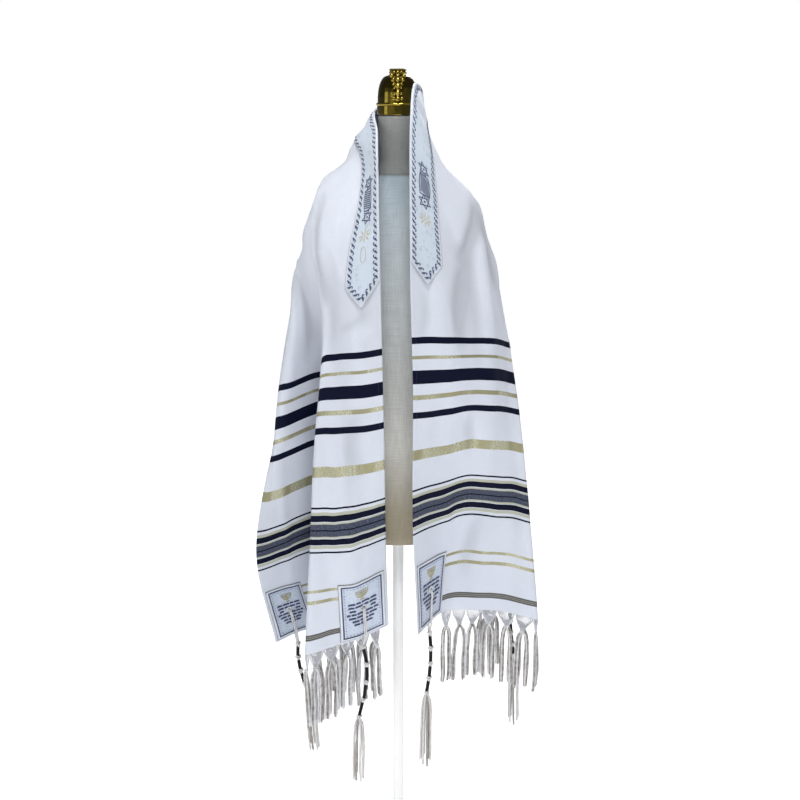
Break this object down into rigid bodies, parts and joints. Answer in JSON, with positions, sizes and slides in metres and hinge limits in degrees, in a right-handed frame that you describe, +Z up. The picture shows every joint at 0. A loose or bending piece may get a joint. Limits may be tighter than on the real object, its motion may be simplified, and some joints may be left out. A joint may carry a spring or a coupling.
{
  "type": "fringed prayer shawl on a limbless dress form and stand",
  "caption": "Striped prayer shawl with a neckband, corner patches, knotted fringes and corner tassels, draped over the shoulders of a limbless dress form that stands on a pole and round base.",
  "frame": {"origin": "centre of the round base's underside", "axes": "+Z up along the pole, -Y towards the front of the form, where the two falls of the shawl hang"},
  "size_m": [0.4463, 0.3, 1.4164],
  "materials": {
    "shawl_cloth": "soft white weave with navy, gold and slate stripes near both ends",
    "neckband_brocade": "pale blue-grey satin brocade",
    "patch_brocade": "pale blue-grey brocade with a navy border",
    "fringe_yarn": "twisted white yarn",
    "tassel_cord": "white cord wound with near-black cord",
    "form_linen": "grey-beige linen",
    "form_gold": "glossy gold",
    "stand_metal": "satin white"
  },
  "bodies": {
    "root": {"shawl_cloth": "shawl_cloth", "neckband": "neckband_brocade", "patch_front_left": "patch_brocade", "patch_outer_left": "patch_brocade", "patch_front_right": "patch_brocade", "patch_outer_right": "patch_brocade", "fringe_left": "fringe_yarn", "fringe_right": "fringe_yarn", "tassel_front_left": "tassel_cord", "tassel_outer_left": "tassel_cord", "tassel_front_right": "tassel_cord", "tassel_outer_right": "tassel_cord", "form_torso": "form_linen", "form_neck_ring": "form_gold", "form_cap": "form_gold", "form_finial": "form_gold", "stand_pole": "stand_metal", "stand_base": "stand_metal"}
  },
  "joints": []
}
